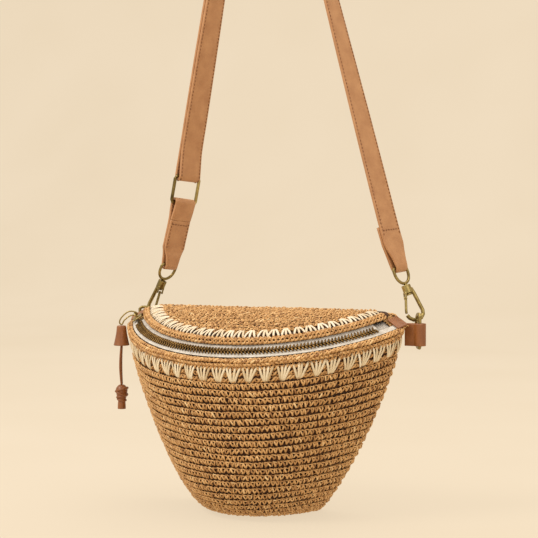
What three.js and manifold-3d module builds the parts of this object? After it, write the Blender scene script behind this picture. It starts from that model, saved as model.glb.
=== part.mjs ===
// Crossbody purse: a half-moon crocheted bag with a curved front zip, leather side loops,
// D-rings, swivel snap hooks and an adjustable leather strap.
// Millimetres, +Z up, front of the bag towards -Y. The origin is the top of the hanging strap.
import * as THREE from 'three';
import { mergeVertices } from 'three/addons/utils/BufferGeometryUtils.js';
import Module from 'manifold-3d';

const wasm = await Module();
wasm.setup();

const RAD = Math.PI / 180;
const GAP = 0.3;                    // clearance between pieces that touch

// ---- Bag: overall sizes -------------------------------------------------------------
const BAG_HEIGHT = 163;             // floor to the back top edge
const RIM_RADIUS = 139.5;           // curved front of the rim, seen square to the top
const RIM_CENTRE_BACK = 40.5;       // arc centre behind the back edge
const RIM_CORNER = 14;              // rounded back corners of the body
const TOP_TILT = 16;                // the top slopes down to the front, degrees
const BACK_Y = 12;                  // flat back of the bag
const BASE_WIDTH_SHARE = 0.40;      // flat base against the rim, across
const BASE_DEPTH_SHARE = 0.46;      // and front to back
const SIDE_BULGE = 1.25;            // roundness of the sides
const FRONT_BULGE = 3.0;            // roundness of the front
const WALL = 3.2;                   // crocheted wall
const LINING = 0.8;                 // cotton lining

// ---- Top panel ------------------------------------------------------------------------
const LID_INSET = 14;               // rim edge to the edge of the top panel
const LID_CORNER = 9;
const LID_THICK = 3.2;
const LID_DOME = 4;                 // rise of the middle of the top panel
const LID_LIFT = 2.6;               // underside of the top panel above the rim plane

// ---- Zip ------------------------------------------------------------------------------
const ZIP_INSET = 8;                // rim edge to the line of the zip
const ZIP_CONE = 25;                // the zip band falls outwards, degrees
const ZIP_HALF_SPAN = 57;           // the rows of teeth end here, degrees each side
const SLIDER_PARK = 61.5;           // the slider rests past the teeth, degrees
const TOOTH_LENGTH = 3.0;
const TOOTH_HEIGHT = 1.6;
const ROW_HALF_GAP = 0.55;          // zip line to the tips of one row
const TAPE_THICK = 0.6;
const TAPE_WIDTH = 7.5;
const TAPE_DROP = 0.9;              // tape below the middle of the teeth
const END_TAB_ARC = 5;              // leather end tab along the zip, degrees
const END_TAB_WIDTH = 13;
const END_TAB_THICK = 1.4;
const TAB_IN = 5.2;                 // the tab reaches this far in from the line of the zip
const TAB_FROM = SLIDER_PARK + 3.2; // and starts here, clear of the slider
const TAB_OFF = GAP - TAPE_DROP;    // it lies on the tape

// ---- Leather, wire and strap ------------------------------------------------------------
const STRAP_WIDTH = 23;
const STRAP_NECK = 12.6;              // strap width where it folds round a hook's eye
const STRAP_THICK = 2.2;
const STRAP_FACE = 67;              // direction the strap's face looks, degrees from the front
const STRAP_PEG = 15;               // radius of the bend at the top of the strap
const FOLD_BACK = 36;               // length of strap sewn back above the right hook
const LAYER_GAP = 0.5;              // between the doubled layers of the strap
const LEG_START = 24;               // the doubled strap closes up this far above the ring
const LEG_STEPS = 12;
const ADJUSTER_STEP = 8;            // the adjuster sits at this station of the left leg
const ADJUSTER_WIRE = 1.2;
const ADJUSTER_LENGTH = 19;
const RING_WIRE = 1.55;             // wire radii
const EYE_WIRE = 1.35;
const HOOK_WIRE = 1.7;
const GATE_WIRE = 1.2;
const SIDE_RING_WIRE = 1.5;
const RING_CLEAR = 0.4;             // wire to the leather folded round it
const EYE_CLEAR = 0.6;              // wire to leather, round a hook's tilted eye
const SIDE_RING_HEIGHT = 27.6;      // between wire centres
const SIDE_RING_DEPTH = 15;
const LOOP_HEIGHT = 18.6;           // leather side loop
const LOOP_THICK = 1.8;
const LOOP_MID_Z = 149.2;
const HOOK_SEAT = 1.3;              // side ring above the hook's bend, at rest

// ---- Hardware places, in the bag's own frame (z = 0 at the floor) -------------------------
const HANG_Y = 19;                  // plane of the strap and hooks
const RIGHT = {
  bend: new THREE.Vector3(134, HANG_Y, 161.2),
  eye: new THREE.Vector3(117.7, HANG_Y, 204),
  hookSide: new THREE.Vector3(0.8, 0.6, 0),
  bar: new THREE.Vector3(138, 12, 0),
};
const LEFT = {
  bend: new THREE.Vector3(-120.5, HANG_Y, 161.2),
  eye: new THREE.Vector3(-99.5, HANG_Y, 204),
  hookSide: new THREE.Vector3(-0.82, 0.57, 0),
  bar: new THREE.Vector3(-128.5, 16, 0),
};
const RING_TOP = new THREE.Vector3(-81, HANG_Y, 282.5);
const RING_BOTTOM = new THREE.Vector3(-85.5, HANG_Y, 259.5);
const LEFT_LEG_HIGH = new THREE.Vector3(-52.7, HANG_Y, 438.7);
const RIGHT_LEG_HIGH = new THREE.Vector3(55.6, HANG_Y, 434);

// ---- Mesh helpers -----------------------------------------------------------------------
const purse = new THREE.Group();
const wide = new THREE.Vector3(Math.cos(STRAP_FACE * RAD), Math.sin(STRAP_FACE * RAD), 0);

const materials = {
  raffia: { color: 0xc9a36b, roughness: 0.85, metalness: 0 },
  lining: { color: 0xd8c6a4, roughness: 0.9, metalness: 0 },
  tape: { color: 0xe2dad2, roughness: 0.9, metalness: 0 },
  leather: { color: 0xa8683a, roughness: 0.6, metalness: 0 },
  brass: { color: 0x8d7a45, roughness: 0.35, metalness: 1 },
};

function add(name, geometry, material) {
  const mesh = new THREE.Mesh(geometry, new THREE.MeshStandardMaterial(materials[material]));
  mesh.name = name;
  purse.add(mesh);
  return mesh;
}

// A closed surface from a list of rings of points. Each ring runs the same way; `around` joins the
// last ring to the first (a torus-like body), otherwise the two ends are closed by flat fans.
function skin(rings, around = false) {
  const count = rings[0].length;
  const positions = rings.flat().flatMap((p) => [p.x, p.y, p.z]);
  const index = [];
  const bands = around ? rings.length : rings.length - 1;
  for (let i = 0; i < bands; i++) {
    const a = i * count;
    const b = ((i + 1) % rings.length) * count;
    for (let j = 0; j < count; j++) {
      const k = (j + 1) % count;
      index.push(a + j, a + k, b + k, a + j, b + k, b + j);
    }
  }
  if (!around) {
    const ends = [[0, true], [rings.length - 1, false]];
    for (const [ring, first] of ends) {
      const centre = new THREE.Vector3();
      rings[ring].forEach((p) => centre.add(p));
      centre.divideScalar(count);
      const c = positions.length / 3;
      positions.push(centre.x, centre.y, centre.z);
      for (let j = 0; j < count; j++) {
        const p = ring * count + j;
        const q = ring * count + ((j + 1) % count);
        if (first) index.push(c, q, p);
        else index.push(c, p, q);
      }
    }
  }
  const geometry = new THREE.BufferGeometry();
  geometry.setAttribute('position', new THREE.Float32BufferAttribute(positions, 3));
  geometry.setIndex(index);
  return outward(geometry);
}

// Turns a closed mesh the right way out, by its signed volume.
function outward(geometry) {
  const p = geometry.getAttribute('position');
  const index = Array.from(geometry.getIndex().array);
  const [a, b, c] = [new THREE.Vector3(), new THREE.Vector3(), new THREE.Vector3()];
  let volume = 0;
  for (let i = 0; i < index.length; i += 3) {
    a.fromBufferAttribute(p, index[i]);
    b.fromBufferAttribute(p, index[i + 1]);
    c.fromBufferAttribute(p, index[i + 2]);
    volume += a.dot(b.cross(c));
  }
  if (volume < 0) index.reverse();
  geometry.setIndex(index);
  return geometry;
}

function solid(geometry) {
  let g = geometry.clone();
  g.deleteAttribute('normal');
  g.deleteAttribute('uv');
  g = mergeVertices(g, 1e-5);
  return new wasm.Manifold(new wasm.Mesh({
    numProp: 3,
    vertProperties: new Float32Array(g.getAttribute('position').array),
    triVerts: new Uint32Array(g.getIndex().array),
  }));
}

function fromSolid(body) {
  const mesh = body.getMesh();
  const geometry = new THREE.BufferGeometry();
  geometry.setAttribute('position', new THREE.BufferAttribute(mesh.vertProperties, 3));
  geometry.setIndex(new THREE.BufferAttribute(mesh.triVerts, 1));
  return geometry;
}

function join(...parts) {
  return fromSolid(parts.map(solid).reduce((all, part) => all.add(part)));
}

// A rod of round section along points, open-ended with caps or closed on itself.
function rod(points, radius, closed = false, sides = 8) {
  const n = points.length;
  const rings = [];
  let side = null;
  for (let i = 0; i < n; i++) {
    const before = points[closed ? (i + n - 1) % n : Math.max(i - 1, 0)];
    const after = points[closed ? (i + 1) % n : Math.min(i + 1, n - 1)];
    const along = after.clone().sub(before).normalize();
    if (!side) side = Math.abs(along.z) < 0.8 ? new THREE.Vector3(0, 0, 1) : new THREE.Vector3(1, 0, 0);
    side.addScaledVector(along, -side.dot(along)).normalize();
    const other = along.clone().cross(side);
    const ring = [];
    for (let j = 0; j < sides; j++) {
      const t = (2 * Math.PI * j) / sides;
      ring.push(points[i].clone().addScaledVector(side, radius * Math.cos(t))
        .addScaledVector(other, radius * Math.sin(t)));
    }
    rings.push(ring);
    side = side.clone();
  }
  return skin(rings, closed);
}

// A strip of leather: rectangular section, width along the given direction at each station.
function strip(stations, thick) {
  const n = stations.length;
  const rings = stations.map(({ at, across, width }, i) => {
    const before = stations[Math.max(i - 1, 0)].at;
    const after = stations[Math.min(i + 1, n - 1)].at;
    const along = after.clone().sub(before).normalize();
    const face = along.clone().cross(across).normalize();
    const corner = (u, v) => at.clone().addScaledVector(across, (u * width) / 2)
      .addScaledVector(face, (v * thick) / 2);
    return [corner(-1, -1), corner(1, -1), corner(1, 1), corner(-1, 1)];
  });
  return skin(rings);
}

function cylinder(from, to, radius, sides = 16) {
  return rod([from, to], radius, false, sides);
}

// ---- The bag's outline ----------------------------------------------------------------------
// Points of a half-moon: a big arc in front, rounded corners and a straight back edge.
// u is across, v is the distance in front of the back edge, in the sloping plane of the top.
function halfMoon(radius, corner, counts = [44, 5, 16]) {
  const reach = Math.sqrt((radius - corner) ** 2 - (corner + RIM_CENTRE_BACK) ** 2);
  const touch = Math.atan2(reach, corner + RIM_CENTRE_BACK);
  const [front, turn, back] = counts;
  const points = [];
  for (let i = 0; i <= front; i++) {
    const t = -touch + (2 * touch * i) / front;
    points.push([radius * Math.sin(t), radius * Math.cos(t) - RIM_CENTRE_BACK]);
  }
  for (let i = 1; i <= turn; i++) {
    const t = touch + ((Math.PI - touch) * i) / turn;
    points.push([reach + corner * Math.sin(t), corner + corner * Math.cos(t)]);
  }
  for (let i = 1; i <= back; i++) points.push([reach - (2 * reach * i) / back, 0]);
  for (let i = 1; i < turn; i++) {
    const t = Math.PI + ((Math.PI - touch) * i) / turn;
    points.push([-reach + corner * Math.sin(t), corner + corner * Math.cos(t)]);
  }
  return points;
}

const tilt = TOP_TILT * RAD;
// A place in the sloping plane of the top: u across, v forwards, lift square to it.
function onTop(u, v, lift = 0) {
  return new THREE.Vector3(
    u,
    BACK_Y - v * Math.cos(tilt) - lift * Math.sin(tilt),
    BAG_HEIGHT - v * Math.sin(tilt) + lift * Math.cos(tilt),
  );
}

// How far the body has opened out at a share of its height, from the base to the rim.
const round = (h, power) => (1 - (1 - h) ** power) ** (1 / power);
const widthShare = (h) => BASE_WIDTH_SHARE + (1 - BASE_WIDTH_SHARE) * round(h, SIDE_BULGE);
const depthShare = (h) => BASE_DEPTH_SHARE + (1 - BASE_DEPTH_SHARE) * round(h, FRONT_BULGE);

const FRONT_RIM_DROP = 4.4;           // the front rim ends below the zip, the back meets the top panel
const BACK_RISE = 5;               // over this distance from the back edge
function rimTop(u, v) {
  const rise = THREE.MathUtils.smoothstep(v, 0, BACK_RISE);
  const lift = -FRONT_RIM_DROP * rise + (LID_LIFT - GAP) * (1 - rise);
  return BAG_HEIGHT - v * Math.sin(tilt) + lift / Math.cos(tilt);
}

// One closed ring of the body at a share of its height, drawn in by `inset`.
function bodyRing(h, inset, floor, counts) {
  const full = halfMoon(RIM_RADIUS, RIM_CORNER, counts);
  return full.map(([u, v], i) => {
    const [pu, pv] = full[(i + full.length - 1) % full.length];
    const [nu, nv] = full[(i + 1) % full.length];
    const w = widthShare(h);
    const d = depthShare(h) * Math.cos(tilt);
    const edge = new THREE.Vector2((nu - pu) * w, -(nv - pv) * d).normalize();
    const x = u * w - edge.y * inset;
    const y = BACK_Y - v * d + edge.x * inset;
    const reach = v - (edge.x * inset) / Math.cos(tilt);
    return new THREE.Vector3(x, y, floor + h * (rimTop(u, reach) - floor));
  });
}

function vessel(outerInset, innerInset, outerFloor, innerFloor, levels) {
  const outer = levels.map((h) => bodyRing(h, outerInset, outerFloor, BODY_COUNTS));
  const inner = levels.map((h) => bodyRing(h, innerInset, innerFloor, BODY_COUNTS)).reverse();
  return skin([...outer, ...inner]);
}

const LEVELS = [0, 0.02, 0.07, 0.15, 0.26, 0.4, 0.58, 0.78, 0.94, 1];
const BODY_COUNTS = [32, 4, 10];

function makeBody() {
  add('body_shell', vessel(0, WALL, 0, WALL, LEVELS), 'raffia');
  const outer = WALL + GAP;
  add('body_lining', vessel(outer, outer + LINING, outer, outer + LINING, LEVELS.slice(0, -1)), 'lining');
}

// ---- Top panel, its lining ----------------------------------------------------------------------
const LID_RADIUS = RIM_RADIUS - LID_INSET;
function lidSlab(radius, corner, low, high, dome, backGap, counts) {
  const outline = halfMoon(radius, corner, counts);
  const middle = 30;
  const ringAt = (share, lift, domed) => outline.map(([u, v]) => {
    const su = u * share;
    const sv = middle + (Math.max(v, backGap) - middle) * share;
    const rise = domed * (1 - share ** 2) * Math.min(sv / middle, 1);
    return onTop(su, sv, lift + rise);
  });
  const shares = [0.25, 0.55, 0.8, 1];
  const under = shares.map((s) => ringAt(s, low, dome));
  const over = shares.map((s) => ringAt(s, high, dome)).reverse();
  return skin([...under, ...over]);
}

function makeLid() {
  add('top_panel', lidSlab(LID_RADIUS, LID_CORNER, LID_LIFT, LID_LIFT + LID_THICK, LID_DOME, 0,
    [36, 4, 10]), 'raffia');
  const top = LID_LIFT - GAP;
  add('lid_lining', lidSlab(LID_RADIUS - 7, LID_CORNER, top - LINING, top, LID_DOME, 6,
    [24, 3, 6]), 'lining');
}

// ---- Zip -------------------------------------------------------------------------------------------
const ZIP_RADIUS = RIM_RADIUS - ZIP_INSET;
const cone = ZIP_CONE * RAD;
// A place on the zip: angle round the arc, distance out across the band, height off the band.
function onZip(angle, out, off = 0) {
  const radial = ZIP_RADIUS + out * Math.cos(cone) + off * Math.sin(cone);
  const lift = -out * Math.sin(cone) + off * Math.cos(cone);
  const t = angle * RAD;
  return onTop(radial * Math.sin(t), radial * Math.cos(t) - RIM_CENTRE_BACK, lift);
}

// A block swept round the zip's arc: rectangular section from `low` to `high`.
function zipBand(fromAngle, toAngle, out0, out1, off0, off1, steps) {
  const rings = [];
  for (let i = 0; i <= steps; i++) {
    const t = fromAngle + ((toAngle - fromAngle) * i) / steps;
    rings.push([onZip(t, out0, off0), onZip(t, out1, off0), onZip(t, out1, off1), onZip(t, out0, off1)]);
  }
  return skin(rings);
}

// One row of teeth as the plain strip that the row fills, at the real height and width.
function zipRow(direction) {
  const near = direction * ROW_HALF_GAP;
  const far = direction * (ROW_HALF_GAP + TOOTH_LENGTH);
  return zipBand(-ZIP_HALF_SPAN, ZIP_HALF_SPAN, near, far, -TOOTH_HEIGHT / 2, TOOTH_HEIGHT / 2, 44);
}

function makeZip() {
  const low = -TAPE_DROP - TAPE_THICK;
  const inner = ROW_HALF_GAP + 1.0;
  const span = ZIP_HALF_SPAN + 1.2;
  const under = TAB_FROM + END_TAB_ARC;
  add('zip_tape_body', zipBand(-under, under, inner, inner + TAPE_WIDTH - 3, low, -TAPE_DROP, 40), 'tape');
  add('zip_tape_lid', zipBand(-span, span, -inner - TAPE_WIDTH + 1.6, -inner, low, -TAPE_DROP, 40), 'tape');
  add('zip_teeth_body', zipRow(1), 'brass');
  add('zip_teeth_lid', zipRow(-1), 'brass');
}

// ---- Slider and pull ---------------------------------------------------------------------------------
const SLIDER_LENGTH = 9;            // along the zip
const SLIDER_HALF = 4.6;            // half its width
const PLATE = 1.1;
function sliderPlate(off0, off1, half, length) {
  const span = (length / ZIP_RADIUS) / RAD / 2;
  return zipBand(-SLIDER_PARK - span, -SLIDER_PARK + span, -half, half, off0, off1, 4);
}

const PLATE_LOW = TAPE_DROP + TAPE_THICK + GAP;
const PLATE_HIGH = TOOTH_HEIGHT / 2 + GAP;
const BAIL_RISE = 1.9;               // pull link to the middle of the bail's wire
const LINK_WIRE = 0.7;
const PULL_PIVOT_OFF = PLATE_HIGH + PLATE + BAIL_RISE;
function makeSlider() {
  const top = sliderPlate(PLATE_HIGH, PLATE_HIGH + PLATE, SLIDER_HALF, SLIDER_LENGTH);
  const bottom = sliderPlate(-PLATE_LOW - PLATE, -PLATE_LOW, SLIDER_HALF, SLIDER_LENGTH);
  const neck = sliderPlate(-PLATE_LOW - PLATE / 2, PLATE_HIGH + PLATE / 2, 0.25, 3);
  const reach = (3.2 / ZIP_RADIUS) / RAD;
  const foot = PLATE_HIGH + PLATE / 2;
  const crown = PULL_PIVOT_OFF + BAIL_RISE;
  const bail = rod([
    onZip(-SLIDER_PARK - reach, 0, foot), onZip(-SLIDER_PARK - reach, 0, crown - 0.9),
    onZip(-SLIDER_PARK - reach * 0.6, 0, crown), onZip(-SLIDER_PARK + reach * 0.6, 0, crown),
    onZip(-SLIDER_PARK + reach, 0, crown - 0.9), onZip(-SLIDER_PARK + reach, 0, foot),
  ], 0.75);
  add('zip_slider', join(top, bottom, neck, bail), 'brass');
}

// The pull hangs down outside the bag from the slider's bail.
const pullTop = onZip(-SLIDER_PARK, 0, PULL_PIVOT_OFF);
const pullOut = new THREE.Vector3(-0.93, -0.36, 0).normalize();
const pullSide = new THREE.Vector3(-pullOut.y, pullOut.x, 0);
const PULL_REACH = 12.7;            // pivot to the line that the pull hangs on
const TAB_DROP = 12;
const CAP_LENGTH = 15;
const CAP_TOP_R = 4.2;
const CAP_LOW_R = 7.2;
const LACE_DROP = 34;
const LACE_R = 0.9;
const LACE_SPREAD = 2.0;
const LACE_APART = 1.15;            // middle of the pull to each strand, at its ends
const KNOT_LENGTH = 15;
const KNOT_R = 6.2;
const TAIL_LENGTH = 6.5;
const pullLine = pullTop.clone().addScaledVector(pullOut, PULL_REACH);
const drop = (z, out = 0, side = 0) => pullLine.clone().addScaledVector(pullOut, out)
  .addScaledVector(pullSide, side).add(new THREE.Vector3(0, 0, -z));

function turned(profile, top, sides = 16) {
  const geometry = new THREE.LatheGeometry(profile.map(([r, z]) => new THREE.Vector2(r, z)), sides);
  geometry.rotateX(Math.PI / 2);
  geometry.translate(top.x, top.y, top.z);
  return outward(fromSolid(solid(geometry)));
}

function lace(side) {
  const top = drop(LACE_TOP, 0, side * LACE_APART);
  const points = [0, 0.12, 0.3, 0.5, 0.7, 0.88, 1].map((s) => drop(
    LACE_TOP + s * LACE_DROP, 0.8 * Math.sin(Math.PI * s), side * (LACE_APART + LACE_SPREAD * Math.sin(Math.PI * s))));
  const route = new THREE.CatmullRomCurve3([top, ...points.slice(1)]);
  const round = new THREE.Shape().absarc(0, 0, LACE_R, 0, 2 * Math.PI);
  const geometry = new THREE.ExtrudeGeometry(round, { steps: 16, extrudePath: route, curveSegments: 8 });
  return geometry;
}

const LACE_TOP = TAB_DROP + CAP_LENGTH + GAP;
function makePull() {
  const off = onZip(-SLIDER_PARK, 0, 1).sub(onZip(-SLIDER_PARK, 0, 0));
  const near = (out, lift) => pullTop.clone().addScaledVector(pullOut, out).addScaledVector(off, lift);
  const above = BAIL_RISE * 2 + 0.1;
  const link = new THREE.CatmullRomCurve3([near(0, 0), near(4.5, -0.4), drop(5, -2.2), drop(TAB_DROP - 3.6, -0.4),
    drop(TAB_DROP - 4.6, 1.6), drop(4, 1.2), near(5.5, above - 0.6), near(0, above + 0.2), near(-2.6, BAIL_RISE)], true);
  add('pull_tab', rod(link.getPoints(24).slice(0, -1), LINK_WIRE, true), 'brass');
  const capTop = drop(TAB_DROP - 3 + GAP);
  const capHeight = CAP_LENGTH + 3 - GAP;
  add('pull_cap', turned([[0, 0], [CAP_TOP_R - 0.6, 0], [CAP_TOP_R, -1.5], [CAP_TOP_R + 0.6, -7],
    [CAP_LOW_R, -capHeight + 1], [CAP_LOW_R - 0.6, -capHeight], [0, -capHeight]], capTop), 'leather');
  add('pull_lace_left', lace(-1), 'leather');
  add('pull_lace_right', lace(1), 'leather');
  const knotTop = drop(LACE_TOP + LACE_DROP + GAP);
  const low = -KNOT_LENGTH - TAIL_LENGTH;
  add('pull_knot', turned([[0, 0], [3, -0.4], [KNOT_R, -4.5], [KNOT_R, -7], [4.4, -KNOT_LENGTH],
    [3.6, -KNOT_LENGTH - 0.4], [3.6, low + 0.8], [3.2, low], [0, low]], knotTop), 'leather');
}

// ---- Leather end tabs over the ends of the zip ----------------------------------------------------
function makeEndTabs() {
  for (const [side, sign] of [['left', -1], ['right', 1]]) {
    const from = sign * TAB_FROM;
    const to = sign * (TAB_FROM + END_TAB_ARC);
    add(`zip_end_tab_${side}`, zipBand(from, to, -TAB_IN, END_TAB_WIDTH - TAB_IN, TAB_OFF, TAB_OFF + END_TAB_THICK, 5),
      'leather');
  }
}

// ---- Side loops and side rings -----------------------------------------------------------------------
const RING_TOP_Z = RIGHT.bend.z + HOOK_WIRE + SIDE_RING_WIRE + HOOK_SEAT;
const RING_MID_Z = RING_TOP_Z - SIDE_RING_HEIGHT / 2;

// D-ring: straight vertical bar at the given place, its bow towards `out`.
function dRing(bar, out, height, depth, wire) {
  const points = [];
  const place = (along, z) => bar.clone().addScaledVector(out, along).setZ(RING_MID_Z + z);
  const half = height / 2;
  for (const share of [-0.9, -0.3, 0.3, 0.9]) points.push(place(0, share * half));
  points.push(place(0.12 * depth, half));
  points.push(place(0.35 * depth, half));
  for (let i = 0; i <= 8; i++) {
    const t = Math.PI / 2 - (Math.PI * i) / 8;
    points.push(place(0.5 * depth + 0.5 * depth * Math.cos(t), half * Math.sin(t)));
  }
  points.push(place(0.35 * depth, -half));
  points.push(place(0.12 * depth, -half));
  return rod(points, wire, true, 8);
}

// Leather loop: a strip folded round the ring's bar, both ends running to the bag's side.
function sideLoop(bar, towardsBag, flap) {
  const inner = SIDE_RING_WIRE + RING_CLEAR + 1.4;
  const outer = inner + LOOP_THICK;
  const base = new THREE.Vector2(towardsBag.x, towardsBag.y);
  const at = (r, t) => {
    const direction = base.clone().rotateAround(new THREE.Vector2(), t);
    return new THREE.Vector2(bar.x, bar.y).addScaledVector(direction, r);
  };
  const outline = [];
  const open = 40 * RAD;
  for (let i = 0; i <= 14; i++) outline.push(at(outer, open + ((2 * Math.PI - 2 * open) * i) / 14));
  const end = new THREE.Vector2(bar.x, bar.y).addScaledVector(base, flap);
  const across = new THREE.Vector2(-base.y, base.x);
  outline.push(end.clone().addScaledVector(across, -LOOP_THICK - 0.05));
  outline.push(end.clone().addScaledVector(across, LOOP_THICK + 0.05));
  const shape = new THREE.Shape(outline);
  const hole = new THREE.Path();
  hole.absarc(bar.x, bar.y, inner, 0, 2 * Math.PI, true);
  shape.holes.push(hole);
  const geometry = new THREE.ExtrudeGeometry(shape, { depth: LOOP_HEIGHT, bevelEnabled: false, curveSegments: 14 });
  geometry.translate(0, 0, LOOP_MID_Z - LOOP_HEIGHT / 2);
  return geometry;
}

const ringOut = {
  right: RIGHT.bend.clone().sub(RIGHT.bar).setZ(0).normalize(),
  left: LEFT.bend.clone().sub(LEFT.bar).setZ(0).normalize(),
};
const toBag = {
  right: new THREE.Vector3(-1, -0.1, 0).normalize(),
  left: new THREE.Vector3(0.62, -0.78, 0).normalize(),
};
const FLAP = { right: 12.4, left: 9.6 };
function makeSideFittings() {
  for (const [side, end] of [['left', LEFT], ['right', RIGHT]]) {
    add(`side_ring_${side}`, dRing(end.bar, ringOut[side], SIDE_RING_HEIGHT, SIDE_RING_DEPTH, SIDE_RING_WIRE), 'brass');
    add(`side_loop_${side}`, sideLoop(end.bar, toBag[side], FLAP[side]), 'leather');
  }
}

// ---- Swivel snap hooks ---------------------------------------------------------------------------------
const EYE_WIDTH = 17;               // between wire centres
const EYE_HEIGHT = 14;
const POST_R = 1.5;
const POST_CLEAR = 0.25;
const COLLAR_R = 3.9;
const COLLAR_LENGTH = 7;
const HEAD_R = 2.7;
const HEAD_THICK = 1.5;
const EAR_DROP = 3.2;               // gate pin below the collar
const PIN_R = 0.4;

// The hook's own directions: down its length, across towards its back, and square to both.
function hookFrame({ bend, eye, hookSide }) {
  const down = bend.clone().sub(eye).normalize();
  const across = hookSide.clone().addScaledVector(down, -hookSide.dot(down)).normalize();
  const face = down.clone().cross(across);
  const reach = bend.distanceTo(eye);
  const at = (h, d, m = 0) => eye.clone().addScaledVector(across, h).addScaledVector(down, d)
    .addScaledVector(face, m);
  return { down, across, face, reach, at };
}

function hookEye(end, neckWide) {
  const { down } = hookFrame(end);
  const wideHere = neckWide.clone().addScaledVector(down, -neckWide.dot(down)).normalize();
  const place = (w, d) => end.eye.clone().addScaledVector(wideHere, w).addScaledVector(down, d);
  const half = EYE_WIDTH / 2;
  const points = [-0.85, -0.3, 0.3, 0.85].map((s) => place(s * half, 0));
  points.push(place(half, 1.4));
  for (let i = 0; i <= 10; i++) {
    const t = (Math.PI * i) / 10;
    points.push(place(half * Math.cos(t), 5 + (EYE_HEIGHT - 5) * Math.sin(t)));
  }
  points.push(place(-half, 1.4));
  const ring = rod(points, EYE_WIRE, true, 8);
  const collarTop = EYE_HEIGHT + EYE_WIRE + GAP;
  const collarLow = collarTop + COLLAR_LENGTH;
  const post = cylinder(place(0, EYE_HEIGHT), place(0, collarLow + GAP + 0.4), POST_R, 12);
  const head = cylinder(place(0, collarLow + GAP), place(0, collarLow + GAP + HEAD_THICK), HEAD_R, 14);
  return join(ring, post, head);
}

function hookBody(end) {
  const { at, down, reach } = hookFrame(end);
  const collarTop = EYE_HEIGHT + EYE_WIRE + GAP;
  const collarLow = collarTop + COLLAR_LENGTH;
  const sleeve = solid(cylinder(at(0, collarTop), at(0, collarLow), COLLAR_R, 18));
  const bore = solid(cylinder(at(0, collarTop - 1), at(0, collarLow + 1), POST_R + POST_CLEAR, 14));
  const arm = rod([at(COLLAR_R - 0.6, collarLow - 3.6), at(4.6, collarLow + 1.5), at(6.1, reach - 11),
    at(6.8, reach - 6.4), at(6.0, reach - 3.0), at(3.4, reach - 0.6), at(0, reach),
    at(-3.6, reach - 0.8), at(-6.4, reach - 3.2), at(-7.6, reach - 6.0)], HOOK_WIRE, false, 10);
  const ear = (m) => {
    const start = at(-COLLAR_R + 0.9, collarLow - 1.4, m);
    const stop = at(-COLLAR_R - 0.2, collarLow + EAR_DROP + 1.2, m);
    return solid(cylinder(start, stop, 0.75, 8));
  };
  const offset = GATE_WIRE + GAP + 0.75;
  let body = sleeve.add(solid(arm)).add(ear(offset)).add(ear(-offset)).subtract(bore);
  const pin = solid(cylinder(at(-COLLAR_R, collarLow + EAR_DROP, offset + 0.9),
    at(-COLLAR_R, collarLow + EAR_DROP, -offset - 0.9), PIN_R + 0.05, 10));
  body = body.subtract(pin);
  return fromSolid(body);
}

function gatePin(end) {
  const { at } = hookFrame(end);
  const low = EYE_HEIGHT + EYE_WIRE + GAP + COLLAR_LENGTH + EAR_DROP;
  const half = GATE_WIRE + GAP + 1.6;
  return cylinder(at(-COLLAR_R, low, half), at(-COLLAR_R, low, -half), PIN_R - 0.05, 8);
}

function hookGate(end) {
  const { at, reach } = hookFrame(end);
  const low = EYE_HEIGHT + EYE_WIRE + GAP + COLLAR_LENGTH + EAR_DROP;
  const bar = rod([at(-COLLAR_R, low - 1.0), at(-COLLAR_R - 0.1, low + 1), at(-7.2, reach - 9.6),
    at(-7.6, reach - 7.4)], GATE_WIRE, false, 8);
  const hole = solid(cylinder(at(-COLLAR_R, low, 3), at(-COLLAR_R, low, -3), PIN_R + 0.25, 10));
  return fromSolid(solid(bar).subtract(hole));
}

function makeHooks() {
  for (const [side, end] of [['left', LEFT], ['right', RIGHT]]) {
    add(`hook_eye_${side}`, hookEye(end, wide), 'brass');
    add(`hook_body_${side}`, hookBody(end), 'brass');
    add(`hook_gate_${side}`, hookGate(end), 'brass');
    add(`gate_pin_${side}`, gatePin(end), 'brass');
  }
}

// ---- Strap ---------------------------------------------------------------------------------------------
const leftUp = LEFT_LEG_HIGH.clone().sub(RING_TOP).normalize();
const rightUp = RIGHT_LEG_HIGH.clone().sub(RIGHT.eye).normalize();

// Across the strap's face and square to the direction it runs.
function squareTo(direction, from = wide) {
  return from.clone().addScaledVector(direction, -from.dot(direction)).normalize();
}

// The fold of a strip round a bar: half a turn at the given radius, from one face to the other.
function foldRound(centre, up, radius, face, steps = 8) {
  const points = [];
  for (let i = 0; i <= steps; i++) {
    const t = (Math.PI * i) / steps;
    points.push(centre.clone().addScaledVector(face, radius * Math.cos(t)).addScaledVector(up, -radius * Math.sin(t)));
  }
  return points;
}

const foldRadius = (wire, clear = RING_CLEAR) => wire + clear + STRAP_THICK / 2;
const LAYER = (STRAP_THICK + LAYER_GAP) / 2;     // from the middle of a doubled strap to each layer

// Where the two legs would meet, and the bend over the peg between them.
function strapTop() {
  const [a, b] = [RING_TOP, RIGHT.eye];
  const slopeA = leftUp.x / leftUp.z;
  const slopeB = rightUp.x / rightUp.z;
  const z = (b.x - a.x + slopeA * a.z - slopeB * b.z) / (slopeA - slopeB);
  const corner = new THREE.Vector3(a.x + slopeA * (z - a.z), HANG_Y, z);
  const angleA = Math.atan(slopeA);
  const angleB = Math.atan(slopeB);
  const half = (angleA - angleB) / 2;
  const lean = (angleA + angleB) / 2;
  const centre = corner.clone().add(new THREE.Vector3(-Math.sin(lean), 0, -Math.cos(lean))
    .multiplyScalar(STRAP_PEG / Math.sin(half)));
  return { centre, angleA, angleB };
}

const peg = strapTop();
const TOP_Z = peg.centre.z + STRAP_PEG + STRAP_THICK / 2;
const origin = new THREE.Vector3(peg.centre.x, HANG_Y, TOP_Z);

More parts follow.
